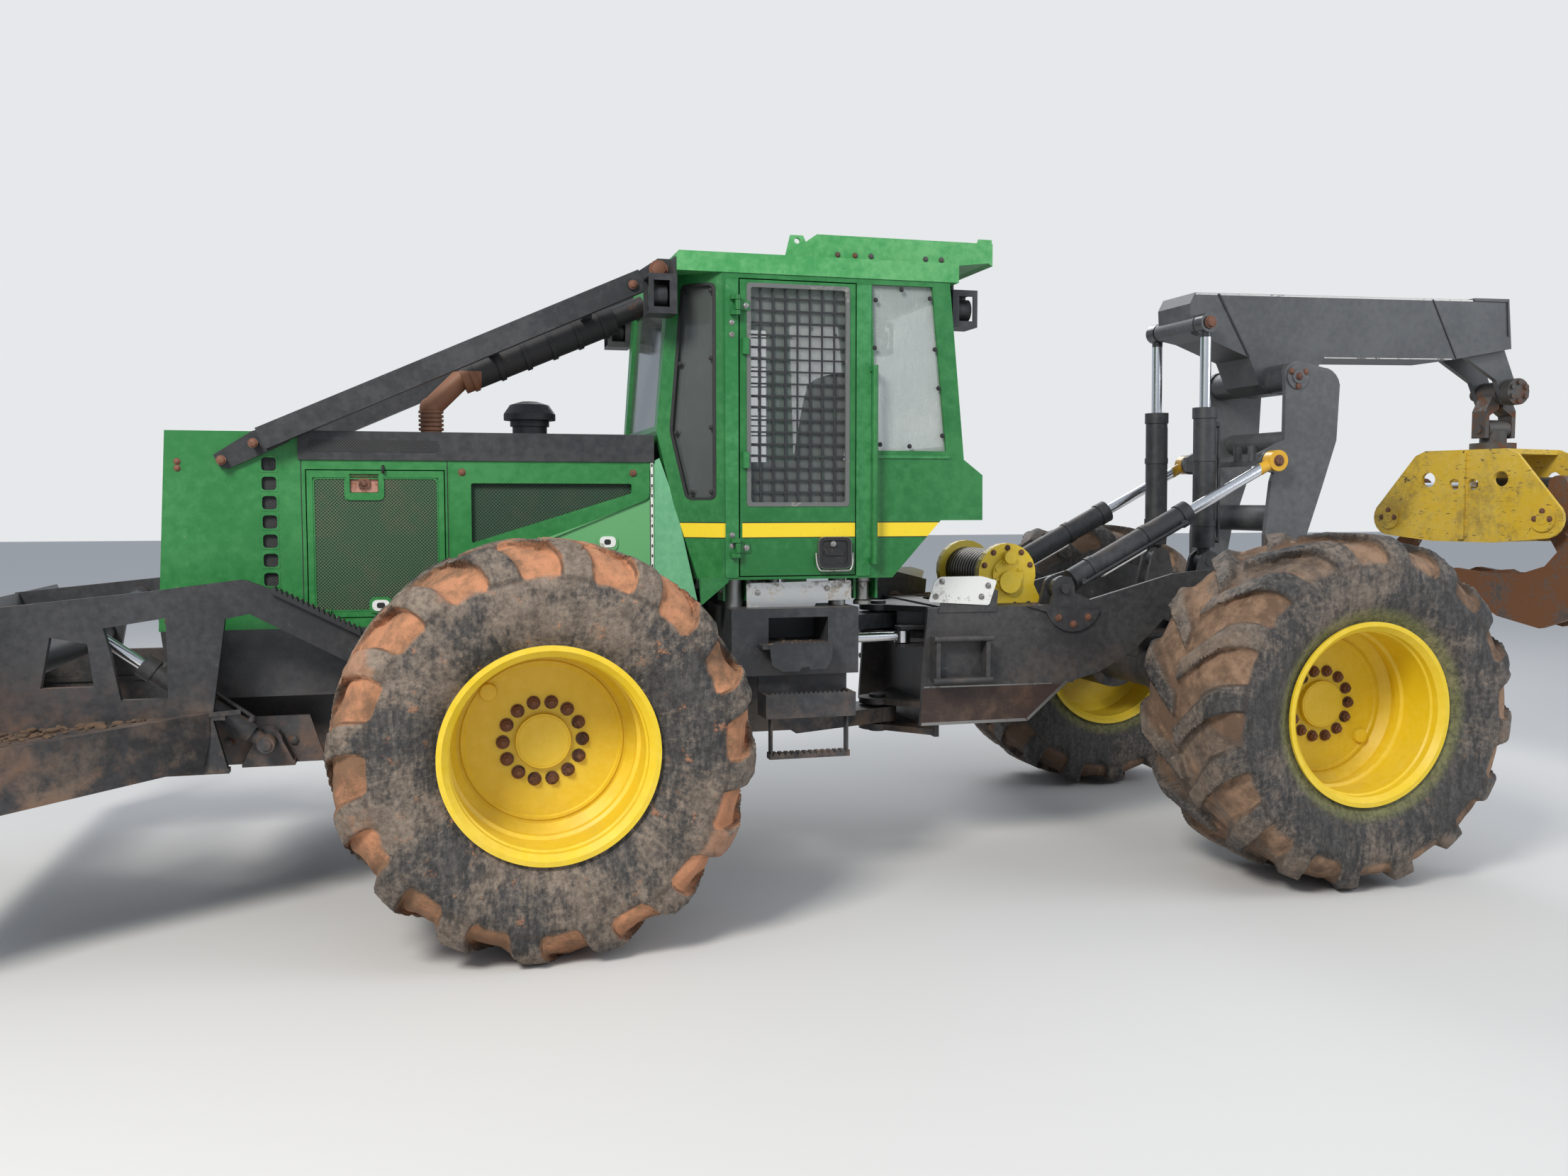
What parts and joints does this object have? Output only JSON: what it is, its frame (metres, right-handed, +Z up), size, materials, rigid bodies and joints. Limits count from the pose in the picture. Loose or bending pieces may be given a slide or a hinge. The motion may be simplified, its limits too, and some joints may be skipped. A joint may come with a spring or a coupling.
{
  "type": "articulated grapple skidder",
  "caption": "Articulated forestry skidder: push blade on lift arms, guarded cab, winch, and a grapple hung from an arch and boom over big lugged tyres.",
  "frame": {"origin": "on the ground straight under the steering hinge", "axes": "+X forward over the blade, +Y to the machine's left, +Z up"},
  "size_m": [8.8505, 3.21, 3.1559],
  "materials": {
    "green_paint": "satin, faded and scratched",
    "pale_green_paint": "satin, weathered",
    "yellow_paint": "satin, scratched to the metal",
    "black_paint": "semi-matt, dusty",
    "iron": "matt",
    "worn_iron": "rusty, polished on the edges",
    "rod_chrome": "polished",
    "screen": "matt, perforated",
    "glazing": "scratched sheet",
    "cab_trim": "matt",
    "tyre_rubber": "caked with dried clay"
  },
  "bodies": {
    "chassis": {"front_frame": "black_paint", "front_axle": "black_paint", "engine": "iron", "hood": "green_paint", "hood_top": "black_paint", "hood_screens": "screen", "limb_risers": "black_paint", "exhaust": "iron", "cab": "green_paint", "cab_roof": "pale_green_paint", "cab_glass": "glazing", "cab_interior": "cab_trim", "work_lamps": "black_paint", "steering_barrels": "black_paint"},
    "cab_door_left_body": {"cab_door_left": "green_paint"},
    "cab_door_right_body": {"cab_door_right": "green_paint"},
    "engine_door_left_body": {"engine_door_left": "green_paint"},
    "engine_door_right_body": {"engine_door_right": "green_paint"},
    "blade_body": {"blade": "black_paint"},
    "blade_barrel_body": {"blade_barrels": "black_paint"},
    "blade_rod_body": {"blade_rods": "rod_chrome"},
    "steering_rod_left_body": {"steering_rod_left": "rod_chrome"},
    "steering_rod_right_body": {"steering_rod_right": "rod_chrome"},
    "rear_body": {"rear_frame": "black_paint", "rear_axle": "black_paint", "winch": "yellow_paint"},
    "arch_body": {"arch": "black_paint"},
    "arch_barrel_body": {"arch_barrels": "black_paint"},
    "arch_rod_body": {"arch_rods": "rod_chrome"},
    "boom_body": {"boom": "black_paint"},
    "boom_barrel_body": {"boom_barrels": "black_paint"},
    "boom_rod_body": {"boom_rods": "rod_chrome"},
    "crosshead_body": {"crosshead": "black_paint"},
    "rotator_body": {"rotator": "black_paint"},
    "head_body": {"grapple_head": "yellow_paint"},
    "tong_left_body": {"tong_left": "worn_iron"},
    "tong_right_body": {"tong_right": "worn_iron"},
    "grapple_barrel_body": {"grapple_barrel": "black_paint"},
    "grapple_rod_body": {"grapple_rod": "rod_chrome"},
    "front_left_wheel": {"front_left_tyre": "tyre_rubber", "front_left_rim": "yellow_paint"},
    "front_right_wheel": {"front_right_tyre": "tyre_rubber", "front_right_rim": "yellow_paint"},
    "rear_left_wheel": {"rear_left_tyre": "tyre_rubber", "rear_left_rim": "yellow_paint"},
    "rear_right_wheel": {"rear_right_tyre": "tyre_rubber", "rear_right_rim": "yellow_paint"}
  },
  "joints": [
    {"name": "articulation", "type": "hinge", "parent": "chassis", "child": "rear_body", "pos_m": [0, 0, 0.95], "axis": [0, 0, 1], "range_deg": [-45, 45]},
    {"name": "front_left_spin", "type": "hinge", "parent": "chassis", "child": "front_left_wheel", "pos_m": [1.905, 1.22, 0.855], "axis": [0, 1, 0], "continuous": true},
    {"name": "front_right_spin", "type": "hinge", "parent": "chassis", "child": "front_right_wheel", "pos_m": [1.905, -1.22, 0.855], "axis": [0, 1, 0], "continuous": true},
    {"name": "rear_left_spin", "type": "hinge", "parent": "rear_body", "child": "rear_left_wheel", "pos_m": [-1.905, 1.22, 0.855], "axis": [0, 1, 0], "continuous": true},
    {"name": "rear_right_spin", "type": "hinge", "parent": "rear_body", "child": "rear_right_wheel", "pos_m": [-1.905, -1.22, 0.855], "axis": [0, 1, 0], "continuous": true},
    {"name": "blade_lift", "type": "hinge", "parent": "chassis", "child": "blade_body", "pos_m": [2.5, 0, 1.15], "axis": [0, 1, 0], "range_deg": [-20, 20]},
    {"name": "blade_barrels_swing", "type": "hinge", "parent": "chassis", "child": "blade_barrel_body", "pos_m": [3.05, 0, 0.8], "axis": [0, 1, 0], "range_deg": [-26, 26]},
    {"name": "blade_rods_slide", "type": "slide", "parent": "blade_barrel_body", "child": "blade_rod_body", "axis": [0.8013, 0, 0.5983], "range_m": [-0.2095, 0.2095]},
    {"name": "cab_door_left_swing", "type": "hinge", "parent": "chassis", "child": "cab_door_left_body", "pos_m": [0.96, 0.775, 2.2], "axis": [0, 0, 1], "range_deg": [-95, 0]},
    {"name": "cab_door_right_swing", "type": "hinge", "parent": "chassis", "child": "cab_door_right_body", "pos_m": [0.96, -0.775, 2.2], "axis": [0, 0, -1], "range_deg": [-95, 0]},
    {"name": "engine_door_left_drop", "type": "hinge", "parent": "chassis", "child": "engine_door_left_body", "pos_m": [2.576, 0.5325, 1.331], "axis": [-1, 0, 0], "range_deg": [0, 42]},
    {"name": "engine_door_right_drop", "type": "hinge", "parent": "chassis", "child": "engine_door_right_body", "pos_m": [2.576, -0.5325, 1.331], "axis": [1, 0, 0], "range_deg": [0, 42]},
    {"name": "steering_rod_left_slide", "type": "slide", "parent": "chassis", "child": "steering_rod_left_body", "axis": [-0.9973, -0.0735, 0], "range_m": [-0.2444, 0.2444]},
    {"name": "steering_rod_right_slide", "type": "slide", "parent": "chassis", "child": "steering_rod_right_body", "axis": [-0.9973, 0.0735, 0], "range_m": [-0.2444, 0.2444]},
    {"name": "arch_tilt", "type": "hinge", "parent": "rear_body", "child": "arch_body", "pos_m": [-2.245, 0, 1.25], "axis": [0, 1, 0], "range_deg": [-20, 25]},
    {"name": "arch_barrels_swing", "type": "hinge", "parent": "rear_body", "child": "arch_barrel_body", "pos_m": [-0.854, 0, 1.402], "axis": [0, 1, 0], "range_deg": [-4, 5]},
    {"name": "arch_rods_slide", "type": "slide", "parent": "arch_barrel_body", "child": "arch_rod_body", "axis": [-0.8872, 0, 0.4613], "range_m": [-0.3443, 0.2758]},
    {"name": "boom_tilt", "type": "hinge", "parent": "arch_body", "child": "boom_body", "pos_m": [-2.335, 0, 2.55], "axis": [0, 1, 0], "range_deg": [-25, 15]},
    {"name": "boom_barrels_swing", "type": "hinge", "parent": "rear_body", "child": "boom_barrel_body", "pos_m": [-1.844, 0, 1.52], "axis": [0, 1, 0], "range_deg": [-25.5, 31.5]},
    {"name": "boom_rods_slide", "type": "slide", "parent": "boom_barrel_body", "child": "boom_rod_body", "axis": [0.0106, 0, 0.9999], "range_m": [-0.1253, 0.2075]},
    {"name": "grapple_swing", "type": "hinge", "parent": "boom_body", "child": "crosshead_body", "pos_m": [-4.03, 0, 2.52], "axis": [0, -1, 0], "range_deg": [-35, 35]},
    {"name": "grapple_side_swing", "type": "hinge", "parent": "crosshead_body", "child": "rotator_body", "pos_m": [-4.03, 0, 2.3], "axis": [1, 0, 0], "range_deg": [-12, 12]},
    {"name": "grapple_turn", "type": "hinge", "parent": "rotator_body", "child": "head_body", "pos_m": [-4.03, 0, 2.17], "axis": [0, 0, 1], "range_deg": [-100, 100]},
    {"name": "tong_left_open", "type": "hinge", "parent": "head_body", "child": "tong_left_body", "pos_m": [-4.15096, 0.48515, 1.755], "axis": [0.9703, 0.2419, 0], "range_deg": [0, 50]},
    {"name": "tong_right_open", "type": "hinge", "parent": "head_body", "child": "tong_right_body", "pos_m": [-3.90904, -0.48515, 1.755], "axis": [0.9703, 0.2419, 0], "range_deg": [-50, 0]},
    {"name": "grapple_barrel_swing", "type": "hinge", "parent": "tong_left_body", "child": "grapple_barrel_body", "pos_m": [-4.15096, 0.48515, 1.95], "axis": [0.9703, 0.2419, 0], "range_deg": [-50.5, 0.5]},
    {"name": "grapple_rod_slide", "type": "slide", "parent": "grapple_barrel_body", "child": "grapple_rod_body", "axis": [0.2419, -0.9703, 0], "range_m": [-0.3005, 0.002]}
  ],
  "couplings": [
    {"joint": "blade_barrels_swing", "follows": "blade_lift", "ratio": 1.265},
    {"joint": "blade_rods_slide", "follows": "blade_lift", "m_per_rad": -0.5944},
    {"joint": "steering_rod_left_slide", "follows": "articulation", "m_per_rad": 0.3086},
    {"joint": "steering_rod_right_slide", "follows": "articulation", "m_per_rad": -0.3086},
    {"joint": "arch_barrels_swing", "follows": "arch_tilt", "ratio": 0.176},
    {"joint": "arch_rods_slide", "follows": "arch_tilt", "m_per_rad": -0.7845},
    {"joint": "boom_barrels_swing", "follows": "arch_tilt", "ratio": 1.234},
    {"joint": "boom_rods_slide", "follows": "boom_tilt", "m_per_rad": -0.4709},
    {"joint": "tong_right_open", "follows": "tong_left_open", "ratio": -1},
    {"joint": "grapple_barrel_swing", "follows": "tong_left_open", "ratio": -1},
    {"joint": "grapple_rod_slide", "follows": "tong_left_open", "m_per_rad": -0.342}
  ]
}
